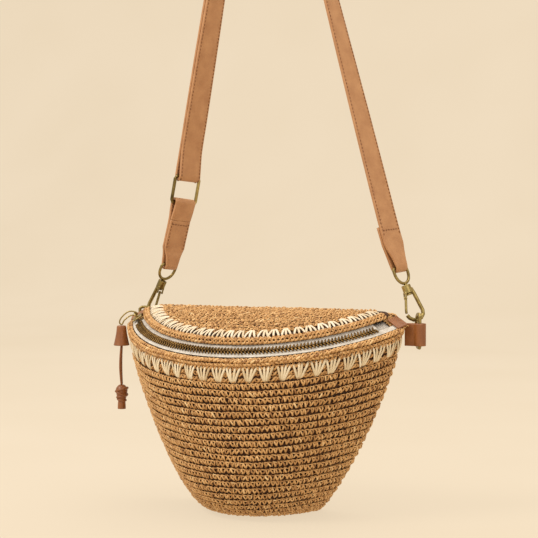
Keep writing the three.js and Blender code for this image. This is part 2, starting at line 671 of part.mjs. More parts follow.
const pegAcross = new THREE.Vector3(0, 1, 0);
const legEnd = (centre, angle) => centre.clone()
  .add(new THREE.Vector3(-Math.cos(angle) * Math.sign(angle), 0, Math.sin(angle) * Math.sign(angle))
    .multiplyScalar(STRAP_PEG));
const ease = (share) => share * share * (3 - 2 * share);

// A station of the left leg: the strap turns slowly to lie flat over the peg.
function leftLeg(i) {
  const share = i / LEG_STEPS;
  const at = RING_TOP.clone().addScaledVector(leftUp, LEG_START).lerp(legEnd(peg.centre, peg.angleA), share);
  const across = squareTo(leftUp).lerp(pegAcross, ease(share)).normalize();
  const face = across.clone().cross(leftUp).normalize();
  return { at, across, out: face.x < 0 ? face : face.negate() };
}

function makeStrap() {
  const rightFace = squareTo(rightUp).cross(rightUp).normalize();
  const ringFold = foldRadius(RING_WIRE);
  const eyeFold = foldRadius(EYE_WIRE, EYE_CLEAR);
  const stations = [];
  const push = (at, across, width) => stations.push({ at, across, width });

  // Left leg: the returned layer down to the fold round the strap ring, then up to the bend.
  for (let i = ADJUSTER_STEP; i >= 0; i--) {
    const { at, across, out } = leftLeg(i);
    const end = i === ADJUSTER_STEP ? ADJUSTER_WIRE * 2 + GAP : 0;
    push(at.clone().addScaledVector(out, 2 * LAYER).addScaledVector(leftUp, -end), across, STRAP_WIDTH);
  }
  const { across: leftAcross, out: outSide } = leftLeg(0);
  const inSide = outSide.clone().negate();
  push(RING_TOP.clone().addScaledVector(leftUp, 9).addScaledVector(outSide, ringFold), leftAcross, STRAP_WIDTH);
  for (const p of foldRound(RING_TOP, leftUp, ringFold, outSide)) push(p, leftAcross, STRAP_WIDTH);
  push(RING_TOP.clone().addScaledVector(leftUp, 9).addScaledVector(inSide, ringFold * 0.6), leftAcross, STRAP_WIDTH);
  for (let i = 0; i <= LEG_STEPS; i++) {
    const { at, across } = leftLeg(i);
    push(at, across, STRAP_WIDTH);
  }
  const rightTop = legEnd(peg.centre, peg.angleB);
  const twist = (from, to, start, stop, steps) => {
    for (let i = 1; i <= steps; i++) {
      const share = i / steps;
      push(from.clone().lerp(to, share), start.clone().lerp(stop, ease(share)).normalize(), STRAP_WIDTH);
    }
  };
  const sweep = Math.PI - (peg.angleA - peg.angleB);
  for (let i = 1; i < 10; i++) {
    const t = Math.PI - peg.angleA - (sweep * i) / 10;
    push(peg.centre.clone().add(new THREE.Vector3(Math.cos(t), 0, Math.sin(t)).multiplyScalar(STRAP_PEG)),
      pegAcross, STRAP_WIDTH);
  }
  push(rightTop, pegAcross, STRAP_WIDTH);

  // Right leg, down to the fold round the right hook's eye and back up inside it.
  const rightAcross = squareTo(rightUp);
  const outRight = rightFace.x > 0 ? rightFace.clone() : rightFace.clone().negate();
  const inRight = outRight.clone().negate();
  const above = (s, off) => RIGHT.eye.clone().addScaledVector(rightUp, s).addScaledVector(outRight, off);
  twist(rightTop, above(FOLD_BACK + 4, 0), pegAcross, rightAcross, 12);
  push(above(20, 0.6), rightAcross, STRAP_WIDTH);
  push(above(8, eyeFold * 0.7), rightAcross, STRAP_NECK + 3);
  for (const p of foldRound(RIGHT.eye, rightUp, eyeFold, outRight)) push(p, rightAcross, STRAP_NECK);
  push(RIGHT.eye.clone().addScaledVector(rightUp, 8).addScaledVector(inRight, eyeFold), rightAcross, STRAP_NECK + 3);
  push(above(20, 0.6 - 2 * LAYER), rightAcross, STRAP_WIDTH);
  push(above(FOLD_BACK, -2 * LAYER), rightAcross, STRAP_WIDTH);
  add('main_strap', strip(stations, STRAP_THICK), 'leather');
}

// Adjuster: a frame on the inner face of the strap with a bar that passes behind it.
function makeAdjuster() {
  const { at, across, out } = leftLeg(ADJUSTER_STEP);
  const half = STRAP_WIDTH / 2 + ADJUSTER_WIRE + 0.5;
  const off = STRAP_THICK / 2 + ADJUSTER_WIRE + GAP;
  const place = (w, along, o) => at.clone().addScaledVector(across, w * half)
    .addScaledVector(leftUp, (along * ADJUSTER_LENGTH) / 2).addScaledVector(out, o * off);
  const e = 0.9;
  const frame = rod([place(-e, 1, -1), place(0, 1, -1), place(e, 1, -1), place(1, e, -1), place(1, -e, -1),
    place(e, -1, -1), place(0, -1, -1), place(-e, -1, -1), place(-1, -e, -1), place(-1, e, -1)],
  ADJUSTER_WIRE, true, 8);
  const bar = rod([place(-1, 0, -1), place(-1, 0, 0.7), place(-e, 0, 1), place(e, 0, 1), place(1, 0, 0.7),
    place(1, 0, -1)], ADJUSTER_WIRE * 0.9, false, 8);
  add('strap_adjuster', join(frame, bar), 'brass');
}

function makeRing() {
  const across = squareTo(RING_TOP.clone().sub(RING_BOTTOM).normalize());
  const half = STRAP_WIDTH / 2 + RING_WIRE + 0.6;
  const place = (w, s) => RING_BOTTOM.clone().lerp(RING_TOP, s).addScaledVector(across, w * half);
  const e = 0.93;
  const f = 0.08;
  const points = [place(-e, 1), place(0, 1), place(e, 1), place(1, 1 - f), place(1, f), place(e, 0), place(0, 0),
    place(-e, 0), place(-1, f), place(-1, 1 - f)];
  add('strap_ring', rod(points, RING_WIRE, true, 8), 'brass');
}

// Short doubled strap between the strap ring and the left hook.
function makeShortStrap() {
  const up = RING_BOTTOM.clone().sub(LEFT.eye).normalize();
  const across = squareTo(up);
  const face = across.clone().cross(up).normalize();
  const out = face.y < 0 ? face : face.negate();
  const length = RING_BOTTOM.distanceTo(LEFT.eye);
  const high = foldRadius(RING_WIRE);
  const low = foldRadius(EYE_WIRE, EYE_CLEAR);
  const at = (s, off) => LEFT.eye.clone().addScaledVector(up, s).addScaledVector(out, off);
  const stations = [];
  const push = (p, width) => stations.push({ at: p, across, width });
  const full = STRAP_WIDTH - 1;
  push(at(length - 16, LAYER * 1.0), full);
  push(at(length - 8, high * 0.8), full);
  for (const p of foldRound(RING_BOTTOM, up.clone().negate(), high, out)) push(p, full);
  push(at(length - 8, -high * 0.8), full);
  push(at(length - 16, -LAYER), full);
  push(at(16, -LAYER), full);
  push(at(8, -low * 0.8), STRAP_NECK + 3);
  for (const p of foldRound(LEFT.eye, up, low, out.clone().negate())) push(p, STRAP_NECK);
  push(at(8, low * 0.8), STRAP_NECK + 3);
  push(at(16, LAYER), full);
  push(at(length - 16 - GAP, LAYER * 1.0), full);
  add('short_strap', strip(stations, STRAP_THICK), 'leather');
}

makeBody();
makeLid();
makeZip();
makeSlider();
makePull();
makeEndTabs();
makeSideFittings();
makeHooks();
makeStrap();
makeAdjuster();
makeRing();
makeShortStrap();
purse.position.copy(origin).negate();
export default purse;
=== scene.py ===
"""Looks of the crossbody purse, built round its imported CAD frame. Sizes in bag millimetres, placed in metres."""
import math
import bpy
import numpy as np
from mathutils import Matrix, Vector

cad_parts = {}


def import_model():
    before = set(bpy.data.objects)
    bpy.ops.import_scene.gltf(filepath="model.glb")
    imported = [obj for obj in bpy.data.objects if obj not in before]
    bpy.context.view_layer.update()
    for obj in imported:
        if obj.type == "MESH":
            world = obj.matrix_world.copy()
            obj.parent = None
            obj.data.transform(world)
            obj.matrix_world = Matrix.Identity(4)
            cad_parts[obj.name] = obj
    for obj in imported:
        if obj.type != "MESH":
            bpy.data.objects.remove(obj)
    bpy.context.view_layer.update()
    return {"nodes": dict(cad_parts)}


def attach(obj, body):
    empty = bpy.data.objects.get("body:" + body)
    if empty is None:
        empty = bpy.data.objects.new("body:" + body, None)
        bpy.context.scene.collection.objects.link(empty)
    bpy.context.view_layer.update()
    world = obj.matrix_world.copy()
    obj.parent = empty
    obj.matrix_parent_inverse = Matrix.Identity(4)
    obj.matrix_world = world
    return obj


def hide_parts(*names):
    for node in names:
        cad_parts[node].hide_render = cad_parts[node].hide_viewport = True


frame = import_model()
ORIGIN = np.array([-6.8365, 19.0, 623.8013])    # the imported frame's origin, in the bag's frame
rng = np.random.default_rng(11)
A = np.array


def world(p):
    return (np.asarray(p, float) - ORIGIN) / 1000.0


def unit(v):
    v = np.asarray(v, float)
    return v / np.maximum(np.linalg.norm(v, axis=-1, keepdims=True), 1e-9)


def lengths(line):
    """The distance along a line to each of its points."""
    return np.concatenate([[0], np.cumsum(np.linalg.norm(np.diff(line, axis=0), axis=1))])


def round_lengths(ring):
    """The same for a closed ring, with the whole way round at its end."""
    return lengths(np.vstack([ring, ring[:1]]))


# ---- Camera -----------------------------------------------------------------------------------
LENS, REACH, AIM = 88.6, 1141.7, A([0, 0, 80])
STANDS_AT, LOOKS_ALONG = (24.84, 7.63), (24.5, 1.5)     # azimuth and elevation, degrees


def back(az, el):
    a, e = math.radians(az), math.radians(el)
    return A([math.sin(a) * math.cos(e), -math.cos(a) * math.cos(e), math.sin(e)])


camera = bpy.data.objects.new("camera", bpy.data.cameras.new("camera"))
bpy.context.scene.collection.objects.link(camera)
camera.data.sensor_width = 36.0
camera.data.lens = LENS
camera.data.clip_end = 20.0
camera.location = world(AIM + REACH * back(*STANDS_AT))
camera.rotation_mode = "QUATERNION"
camera.rotation_quaternion = Vector(-back(*LOOKS_ALONG)).to_track_quat("-Z", "Y")
bpy.context.scene.camera = camera
bpy.context.scene.view_settings.view_transform = "Standard"

# ---- Sizes shared with the CAD part -----------------------------------------------------------
HEIGHT, RADIUS, CENTRE, CORNER, TILT, BACK_Y = 163.0, 139.5, 40.5, 14.0, math.radians(16), 12.0
LID_R, LID_CORNER, LID_THICK, LID_DOME, LID_LIFT = 125.5, 9.0, 3.2, 4.0, 2.6
ZIP_R, CONE, PARK, HALF_SPAN = 131.5, math.radians(25), 61.5, 57.0
BASE_WIDE, BASE_DEEP, SIDE_POWER, FRONT_POWER = 0.40, 0.46, 1.25, 3.0
WIDTH, NECK, THICK = 23.0, 12.6, 2.2
RING_WIRE, EYE_WIRE = 1.55, 1.35
PULL_RISE = 0.8 + 0.3 + 1.1 + 1.9       # from the zip's middle up to the pull's hinge
PULL_REACH, LACE_RADIUS = 12.7, 0.9
CAP_DROP, LACE_DROP, LACE_HANG, KNOT_DROP = 9.3, 27.3, 34, 61.6


def on_top(u, v, lift=0.0):
    u, v, lift = np.broadcast_arrays(*[np.asarray(x, float) for x in (u, v, lift)])
    c, s = math.cos(TILT), math.sin(TILT)
    return np.stack([u, BACK_Y - v * c - lift * s, HEIGHT - v * s + lift * c], -1)


def on_zip(angle, out, off=0.0):
    r = ZIP_R + out * math.cos(CONE) + off * math.sin(CONE)
    t = np.radians(angle)
    return on_top(r * np.sin(t), r * np.cos(t) - CENTRE, -out * math.sin(CONE) + off * math.cos(CONE))


def catmull(points, count, closed=False):
    """A smooth line of count points through the given ones, evenly spaced."""
    p = np.asarray(points, float)
    n = len(p)
    t = np.linspace(0, n if closed else n - 1, count * 4, endpoint=not closed)
    i = np.minimum(t.astype(int), n - 1 if closed else n - 2)
    f = (t - i)[:, None]
    g = (lambda k: p[k % n]) if closed else (lambda k: p[np.clip(k, 0, n - 1)])
    a, b, c, d = g(i - 1), g(i), g(i + 1), g(i + 2)
    line = 0.5 * (2 * b + (c - a) * f + (2 * a - 5 * b + 4 * c - d) * f ** 2 + (3 * b - a - 3 * c + d) * f ** 3)
    ends = np.vstack([line, line[:1]]) if closed else line
    s = lengths(ends)
    want = np.linspace(0, s[-1], count, endpoint=not closed)
    return np.stack([np.interp(want, s, ends[:, k]) for k in range(3)], -1)


# ---- Zip pull's two laces: free cords -----------------------------------------------------------
PULL_TOP = on_zip(-PARK, 0, PULL_RISE)
PULL_OUT = unit(A([-0.93, -0.36, 0]))
PULL_SIDE = A([-PULL_OUT[1], PULL_OUT[0], 0])


def drop(z, out=0.0, side=0.0):
    return PULL_TOP + PULL_OUT * (PULL_REACH + out) + PULL_SIDE * side - A([0, 0, z])


def lace(side):
    """One lace's middle line, from the cap to the knot, bowed out halfway."""
    line = []
    for k in np.linspace(0, 1, 33):
        bow = math.sin(math.pi * k)
        line.append(drop(LACE_DROP + LACE_HANG * k, 0.8 * bow, side * (1.15 + 2.0 * bow)))
    return A(line)


# ---- Materials ------------------------------------------------------------------------------------
def lin(r, g, b):
    """An 8-bit screen colour as a linear one."""
    return tuple(((c / 255 + 0.055) / 1.055) ** 2.4 if c > 10 else c / 3294 for c in (r, g, b)) + (1,)


def shader(name):
    m = bpy.data.materials.new(name)
    m.use_nodes = True
    n = m.node_tree.nodes
    return m, n, m.node_tree.links, n["Principled BSDF"]


def node(n, kind, **values):
    x = n.new(kind)
    for k, v in values.items():
        if hasattr(x, k):
            setattr(x, k, v)
        else:
            x.inputs[k.replace("_", " ")].default_value = v
    return x


def ramp(n, *stops):
    x = n.new("ShaderNodeValToRGB")
    while len(x.color_ramp.elements) < len(stops):
        x.color_ramp.elements.new(0.5)
    for e, (at, colour) in zip(x.color_ramp.elements, stops):
        e.position, e.color = at, colour
    return x


def noise(n, l, scale, detail=4.0, vector=None, stretch=None):
    x = node(n, "ShaderNodeTexNoise", Scale=scale, Detail=detail)
    if vector is None:
        vector = n.new("ShaderNodeTexCoord").outputs["Object"]
    if stretch:
        mapping = n.new("ShaderNodeMapping")
        mapping.inputs["Scale"].default_value = stretch
        l.new(vector, mapping.inputs["Vector"])
        vector = mapping.outputs["Vector"]
    l.new(vector, x.inputs["Vector"])
    return x.outputs[0]


def bump(n, l, height, strength, distance, out):
    x = n.new("ShaderNodeBump")
    x.inputs["Strength"].default_value = strength
    x.inputs["Distance"].default_value = distance
    l.new(height, x.inputs["Height"])
    l.new(x.outputs[0], out.inputs["Normal"])


def strand_material(name, stops, rough):
    """Raffia: fibres run along each strand, and every strand has its own shade."""
    m, n, l, out = shader(name)
    a = node(n, "ShaderNodeAttribute", attribute_name="strand")
    grain = noise(n, l, 1.0, 3.0, a.outputs["Vector"], (0.35, 9.0, 40.0))
    part = n.new("ShaderNodeSeparateXYZ")
    l.new(a.outputs["Vector"], part.inputs[0])
    mixed = node(n, "ShaderNodeMath", operation="MULTIPLY_ADD")
    l.new(grain, mixed.inputs[0])
    mixed.inputs[1].default_value = 0.75
    l.new(part.outputs[2], mixed.inputs[2])
    shift = node(n, "ShaderNodeMath", operation="SUBTRACT")
    l.new(mixed.outputs[0], shift.inputs[0])
    shift.inputs[1].default_value = 0.38
    r = ramp(n, *stops)
    l.new(shift.outputs[0], r.inputs[0])
    l.new(r.outputs[0], out.inputs["Base Color"])
    out.inputs["Roughness"].default_value = rough
    bump(n, l, grain, 0.5, 0.0004, out)
    return m


def grain_material(name, dark, light, rough, scale, strength, metal=0.0, spread=0.25):
    """Two tones mixed by coarse and fine noise, with the fine one raised."""
    m, n, l, out = shader(name)
    big = noise(n, l, scale * 0.12, 5.0)
    fine = noise(n, l, scale, 6.0)
    both = node(n, "ShaderNodeMath", operation="MULTIPLY_ADD")
    l.new(fine, both.inputs[0])
    both.inputs[1].default_value = 0.45
    l.new(big, both.inputs[2])
    r = ramp(n, (0.72 - spread, dark), (0.72 + spread, light))
    l.new(both.outputs[0], r.inputs[0])
    l.new(r.outputs[0], out.inputs["Base Color"])
    out.inputs["Metallic"].default_value = metal
    rr = n.new("ShaderNodeMapRange")
    rr.inputs["To Min"].default_value = rough + 0.1
    rr.inputs["To Max"].default_value = max(rough - 0.1, 0.05)
    l.new(fine, rr.inputs["Value"])
    l.new(rr.outputs[0], out.inputs["Roughness"])
    bump(n, l, fine, strength, 0.0003, out)
    return m


RAFFIA = strand_material("raffia", [(0.0, lin(148, 100, 52)), (0.3, lin(194, 145, 86)),
                                    (0.65, lin(219, 172, 111)), (1.0, lin(246, 214, 160))], 0.5)
CREAM = strand_material("cream", [(0.0, lin(196, 170, 128)), (0.4, lin(226, 205, 168)),
                                  (1.0, lin(244, 230, 202))], 0.55)
WHITE = strand_material("white", [(0.0, lin(206, 182, 144)), (0.4, lin(230, 211, 180)),
                                  (1.0, lin(246, 234, 212))], 0.6)
# Very dark brown for the sheets behind the stitches: painted shade for the gaps between them, not a colour of the
# raffia.
PAINTED_SHADE = grain_material("raffia_painted_shade", lin(44, 22, 8), lin(84, 50, 22), 0.9, 700, 0.4)
LEATHER = grain_material("leather", lin(160, 108, 66), lin(190, 139, 93), 0.45, 900, 0.4, spread=0.4)
LOOP_LEATHER = grain_material("loop_leather", lin(112, 62, 26), lin(148, 90, 44), 0.42, 900, 0.2, spread=0.4)
THREAD = grain_material("thread", lin(104, 62, 30), lin(146, 96, 56), 0.7, 1500, 0.3)
BRASS = grain_material("antique_brass", lin(92, 76, 40), lin(178, 156, 98), 0.34, 260, 0.05, 1.0, 0.2)
DARK_BRASS = grain_material("tooth_brass", lin(70, 52, 26), lin(140, 108, 62), 0.36, 500, 0.05, 1.0, 0.2)
TAPE = grain_material("zip_tape", lin(176, 166, 152), lin(214, 206, 194), 0.85, 1600, 0.5)
LINING = grain_material("lining", lin(190, 170, 136), lin(222, 204, 172), 0.9, 1400, 0.4)


# ---- Mesh helpers -----------------------------------------------------------------------------------
def piece(name, verts, faces, material, body, slot, smooth=True, strand=None):
    me = bpy.data.meshes.new(name)
    me.from_pydata(world(verts).tolist(), [], faces)
    me.validate()
    if strand is not None:
        a = me.attributes.new("strand", "FLOAT_VECTOR", "POINT")
        a.data.foreach_set("vector", np.asarray(strand, np.float32).ravel())
    if smooth:
        me.polygons.foreach_set("use_smooth", np.ones(len(me.polygons), bool))
    me.materials.append(material)
    ob = bpy.data.objects.new(name, me)
    bpy.context.scene.collection.objects.link(ob)
    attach(ob, body)
    return ob


def tubes(paths, normals, wide, high, sides=6, taper=True):
    """Closed flattened tubes: paths (N, K, 3), normals alike, half width and half height in mm."""
    p = np.asarray(paths, float)
    count, k = p.shape[:2]
    t = unit(np.gradient(p, axis=1))
    nrm = np.asarray(normals, float)
    nrm = unit(nrm - (nrm * t).sum(-1, keepdims=True) * t)
    side = np.cross(t, nrm)
    w = np.broadcast_to(np.asarray(wide, float), (count, k)).copy()
    h = np.broadcast_to(np.asarray(high, float), (count, k)).copy()
    if taper:
        w[:, [0, -1]] *= 0.55
        h[:, [0, -1]] *= 0.55
    a = np.arange(sides) * 2 * np.pi / sides
    ring = (p[:, :, None] + side[:, :, None] * (w[..., None] * np.cos(a))[..., None]
            + nrm[:, :, None] * (h[..., None] * np.sin(a))[..., None])
    verts = ring.reshape(-1, 3)
    base = (np.arange(count) * k * sides)[:, None, None]
    i = np.arange(k - 1)[None, :, None] * sides
    j = np.arange(sides)[None, None, :]
    j2 = (j + 1) % sides
    quads = np.stack([base + i + j, base + i + j2, base + i + sides + j2, base + i + sides + j], -1).reshape(-1, 4)
    b = (np.arange(count) * k * sides)[:, None]
    caps = np.vstack([b + np.arange(sides)[::-1], b + (k - 1) * sides + np.arange(sides)])
    length = np.concatenate([np.zeros((count, 1)), np.cumsum(np.linalg.norm(np.diff(p, axis=1), axis=2), 1)], 1)
    seed = rng.uniform(0, 50, count)
    shade = rng.normal(0.42, 0.17, count).clip(0, 0.9)
    strand = np.stack([np.broadcast_to((length + seed[:, None])[..., None], (count, k, sides)),
                       np.broadcast_to(np.cos(a), (count, k, sides)) + seed[:, None, None] * 3,
                       np.broadcast_to(shade[:, None, None], (count, k, sides))], -1).reshape(-1, 3)
    return verts, quads.tolist() + caps.tolist(), strand


def rod(points, radius, closed=False, sides=12, count=48):
    """A round rod along a smooth line through the points."""
    line = catmull(points, count, closed)
    t = unit(np.roll(line, -1, 0) - np.roll(line, 1, 0)) if closed else unit(np.gradient(line, axis=0))
    side = A([0, 0, 1.0]) if abs(t[0][2]) < 0.8 else A([1.0, 0, 0])
    rings = []
    for p, d in zip(line, t):
        side = unit(side - d * side.dot(d))
        other = np.cross(d, side)
        rings.append([p + radius * (side * math.cos(x) + other * math.sin(x))
                      for x in np.arange(sides) * 2 * np.pi / sides])
    return loft(rings, closed)


def loft(rings, closed=False):
    """Faces over a row of rings, with both ends capped unless it closes on itself."""
    r = np.asarray(rings)
    k, s = r.shape[:2]
    faces = []
    for i in range(k if closed else k - 1):
        n = (i + 1) % k
        faces += [[i * s + j, i * s + (j + 1) % s, n * s + (j + 1) % s, n * s + j] for j in range(s)]
    if not closed:
        faces += [list(range(s))[::-1], [(k - 1) * s + j for j in range(s)]]
    return r.reshape(-1, 3), faces


def merge(*parts):
    verts, faces, at = [], [], 0
    for part in parts:
        verts.append(part[0])
        faces += [[i + at for i in f] for f in part[1]]
        at += len(part[0])
    return np.vstack(verts), faces


def cast(name, node_name, voxel, rounds, material, body):
    """A copy of a CAD node's mesh with its facets worn round."""
    src = frame["nodes"][node_name]
    me = src.data.copy()
    me.transform(src.matrix_world)
    me.materials.clear()
    me.materials.append(material)
    ob = bpy.data.objects.new(name, me)
    bpy.context.scene.collection.objects.link(ob)
    m = ob.modifiers.new("remesh", "REMESH")
    m.mode, m.voxel_size = "VOXEL", voxel / 1000
    m.use_smooth_shade = True
    s = ob.modifiers.new("smooth", "SMOOTH")
    s.factor, s.iterations = 0.5, rounds
    bpy.context.view_layer.update()
    made = bpy.data.meshes.new_from_object(ob.evaluated_get(bpy.context.evaluated_depsgraph_get()))
    ob.modifiers.clear()
    ob.data = made
    made.materials.clear()
    made.materials.append(material)
    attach(ob, body)
    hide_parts(node_name)
    return ob


# ---- The body's surface -------------------------------------------------------------------------------
def half_moon(radius, corner, count):
    """The outline of the mouth: an arc in front, a straight back and two round corners."""
    reach = math.sqrt((radius - corner) ** 2 - (corner + CENTRE) ** 2)
    touch = math.atan2(reach, corner + CENTRE)
    t = np.linspace(-touch, touch, 400)
    front = np.stack([radius * np.sin(t), radius * np.cos(t) - CENTRE], -1)
    t = np.linspace(touch, math.pi, 60)[1:]
    right = np.stack([reach + corner * np.sin(t), corner + corner * np.cos(t)], -1)
    edge = np.stack([np.linspace(reach, -reach, 160)[1:], np.zeros(159)], -1)
    t = np.linspace(math.pi, 2 * math.pi - touch, 60)[1:]
    left = np.stack([-reach + corner * np.sin(t), corner + corner * np.cos(t)], -1)
    p = np.vstack([front, right, edge, left])
    s = lengths(p)
    want = np.linspace(0, s[-1], count, endpoint=False)
    return np.stack([np.interp(want, s, p[:, 0]), np.interp(want, s, p[:, 1])], -1)


AROUND, UP = 720, 161
moon = half_moon(RADIUS, CORNER, AROUND)
hs = np.linspace(0, 1, UP) ** 1.5


def rounded(h, power):
    return (1 - (1 - h) ** power) ** (1 / power)


def rim_top(v):
    x = np.clip(v / 5.0, 0, 1)
    rise = x * x * (3 - 2 * x)
    return HEIGHT - v * math.sin(TILT) + (-4.4 * rise + 2.3 * (1 - rise)) / math.cos(TILT)


grid = np.zeros((UP, AROUND, 3))
for i, h in enumerate(hs):
    w = BASE_WIDE + (1 - BASE_WIDE) * rounded(h, SIDE_POWER)
    d = BASE_DEEP + (1 - BASE_DEEP) * rounded(h, FRONT_POWER)
    grid[i, :, 0] = moon[:, 0] * w
    grid[i, :, 1] = BACK_Y - moon[:, 1] * d * math.cos(TILT)
    grid[i, :, 2] = h * rim_top(moon[:, 1])
along = np.roll(grid, -1, 1) - np.roll(grid, 1, 1)
upward = np.gradient(grid, axis=0)
facing = unit(np.cross(along, upward))
if facing[UP // 2, AROUND // 4] @ (grid[UP // 2, AROUND // 4] - A([0, -30, 80])) < 0:
    facing = -facing


def look_up(field, k, h):
    """A value of the grid between its points: k steps round, h as a share of the height."""
    k, h = np.broadcast_arrays(k, h)
    i = np.clip(np.interp(h, hs, np.arange(UP)), 0, UP - 1.001)
    i0, k0 = i.astype(int), np.floor(k).astype(int)
    rise, turn = (i - i0)[..., None], (k - k0)[..., None]
    a, b = k0 % AROUND, (k0 + 1) % AROUND
    return ((field[i0, a] * (1 - turn) + field[i0, b] * turn) * (1 - rise)
            + (field[i0 + 1, a] * (1 - turn) + field[i0 + 1, b] * turn) * rise)


def on_body(k, h, out=0.0):
    n = unit(look_up(facing, k, h))
    return look_up(grid, k, h) + n * np.asarray(out)[..., None], n


def level(h, out=0.0):
    """The body's outline at a height share."""
    return on_body(np.arange(AROUND, dtype=float), np.full(AROUND, h), out)[0]


# Height shares of the rows, counted down the front from the rim in steps along the surface.
FRONT_LINE = 170
run = lengths(grid[:, FRONT_LINE])
mid = run[-1]


def share_at(distance):
    return np.interp(mid - distance, run, hs)


# One stitch: two strands drawn together at the foot, under a strand that runs on to the next stitch.
# Each point is (along the row in pitches, up in row heights, out in mm).
LEFT_LIMB = A([[-0.50, 0.36, -1.2], [-0.45, 0.30, 0.6], [-0.31, 0.10, 1.5], [-0.15, -0.14, 1.4],
               [-0.05, -0.33, 0.5], [0.0, -0.43, -1.3]])
RIGHT_LIMB = A([[0.47, 0.36, -1.3], [0.40, 0.29, 0.3], [0.27, 0.08, 1.15], [0.15, -0.12, 1.0], [0.07, -0.30, 0.3],
                [0.02, -0.41, -1.3]])
CHAIN = A([[-0.60, 0.26, -0.7], [-0.38, 0.36, 0.5], [-0.12, 0.36, 1.0], [0.16, 0.30, 0.95], [0.42, 0.22, 0.4],
           [0.60, 0.16, -0.8]])
LEAN = A([[-0.55, -0.34, -1.5], [-0.46, -0.30, 0.1], [-0.16, -0.12, 1.35], [0.18, 0.12, 1.5], [0.42, 0.32, 0.6],
          [0.48, 0.38, -1.2]])
CROSS = A([[0.46, -0.33, -1.5], [0.42, -0.27, 0.0], [0.16, -0.06, 0.9], [-0.12, 0.14, 0.9], [-0.34, 0.30, 0.2],
           [-0.42, 0.36, -1.2]])
ROW_STITCH = ((LEFT_LIMB, 1.0, 0.78), (RIGHT_LIMB, 0.95, 0.78), (CHAIN, 0.9, 0.62))
BRAID_STITCH = ((LEAN, 1.0, 0.88), (CROSS, 0.9, 0.88))


def stitches(surface, centres, pitch, row_high, scale=1.0, lift=0.0, high=0.6, flip=False, loose=1.0,
             kind=BRAID_STITCH):
    """The strands of every stitch. surface(s, r, out) takes mm along the row, up from its middle and out."""
    made = []
    n = len(centres)
    slope = 0.0 if kind is BRAID_STITCH else rng.normal(0.16, 0.22, (n, 1)) + 0.2 * np.sin(centres / 23.0)[:, None]
    push = rng.normal(0, 0.16, (n, 1)) * loose
    for shape, share, wide in kind:
        local = np.broadcast_to(shape, (n, 6, 3)).copy()
        if flip:
            local[..., 0] *= -1
        local[..., 2] *= scale
        local += rng.normal(0, 1, (n, 6, 3)) * A([0.06, 0.03, 0.14]) * loose
        local[..., 0] += rng.normal(0, 0.10, (n, 1)) * loose
        local[..., 0] -= slope * local[..., 1]
        local[..., 2] += push
        s = centres[:, None] + local[..., 0] * pitch
        r = local[..., 1] * row_high
        p, normal = surface(s, r, local[..., 2] + lift)
        thick = rng.uniform(0.85, 1.15, (n, 1)) * share
        made.append((p, normal, wide * thick, high * thick))
    p, normal, w, h = (np.concatenate(x) for x in zip(*made))
    return tubes(p, normal, w, h, 5)


def collect(parts):
    """Several lots of strands as one mesh."""
    verts, faces, strand, at = [], [], [], 0
    for v, f, s in parts:
        verts.append(v)
        strand.append(s)
        faces += [[i + at for i in x] for x in f]
        at += len(v)
    return np.vstack(verts), faces, np.vstack(strand)


def body_row(distance, pitch, high, **extra):
    """One row round the body, at a distance below the rim."""
    s = round_lengths(level(share_at(distance)))
    count = int(s[-1] / pitch)
    centres = (np.arange(count) + rng.uniform(0, 1)) * s[-1] / count

    def surface(along_, r, out):
        x = np.mod(along_, s[-1])
        k = np.interp(x, s, np.arange(AROUND + 1))
        wave = 0.35 * np.sin(x / 21.0 + distance) + 0.25 * np.sin(x / 8.3 + distance * 2)
        return on_body(k, share_at(distance - r - wave), out)

    return stitches(surface, centres, pitch, high, **extra)


ROW, STITCH, BAND, BODY_PIECES = 5.8, 3.9, 18.0, 6
UNDER_FANS, UNDER_HIGH = (7.0, 11.8, 16.2), 5.0     # flatter rows below the fans of yarn
rows_down = np.arange(BAND + ROW / 2, mid - 1, ROW)
for g, members in enumerate(np.array_split(rows_down, BODY_PIECES)):
    parts = [body_row(d, STITCH, ROW, kind=ROW_STITCH) for d in members]
    if g == 0:
        parts += [body_row(d, STITCH, UNDER_HIGH, lift=-0.9, scale=0.8) for d in UNDER_FANS]
    v, f, s = collect(parts)
    piece(f"crochet_{g + 1}", v, f, RAFFIA, "bag", "raffia", strand=s)
rim_s = round_lengths(level(1.0))
BRAID_PITCH, RIM_BRAID_HIGH, LID_BRAID_HIGH = 3.6, 2.9, 2.6


def rim_edge(s_, r, out):
    """On the rim's upper edge: r runs inwards over it, out is upwards."""
    k = np.interp(np.mod(s_, rim_s[-1]), rim_s, np.arange(AROUND + 1))
    p, n = on_body(k, 1.0, -1.7 - np.asarray(r))
    raised = np.broadcast_to(A([0, 0, 1.0]), p.shape)
    return p + raised * (0.1 + np.asarray(out))[..., None], unit(raised + n * 0.3)


count = int(rim_s[-1] / BRAID_PITCH)
over = stitches(rim_edge, np.arange(count) * rim_s[-1] / count, BRAID_PITCH, 3.0, scale=0.55, loose=0.5)
v, f, s = collect([body_row(1.0, BRAID_PITCH, RIM_BRAID_HIGH, scale=0.95, loose=0.5),
                   body_row(3.6, BRAID_PITCH, RIM_BRAID_HIGH, scale=0.95, flip=True, loose=0.5), over])
piece("rim_braid", v, f, RAFFIA, "bag", "raffia", strand=s)

# Dark sheet that shows between the stitches, in place of the CAD's plain shell: its dark brown is painted shade in
# the gaps between the rows.
BACKING_OUT, BACKING_IN, BACKING_FLOOR = -0.9, -2.9, 3.0
shares = hs[np.linspace(0, UP - 1, 41).astype(int)]
inner = [level(h, BACKING_IN)[::4] for h in shares[::-1]]
for r in inner:
    r[:, 2] = np.maximum(r[:, 2], BACKING_FLOOR)
v, f = loft([level(h, BACKING_OUT)[::4] for h in shares] + inner)
shade_sheet = piece("shade_sheet", v, f, PAINTED_SHADE, "bag", "raffia")
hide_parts("body_shell")


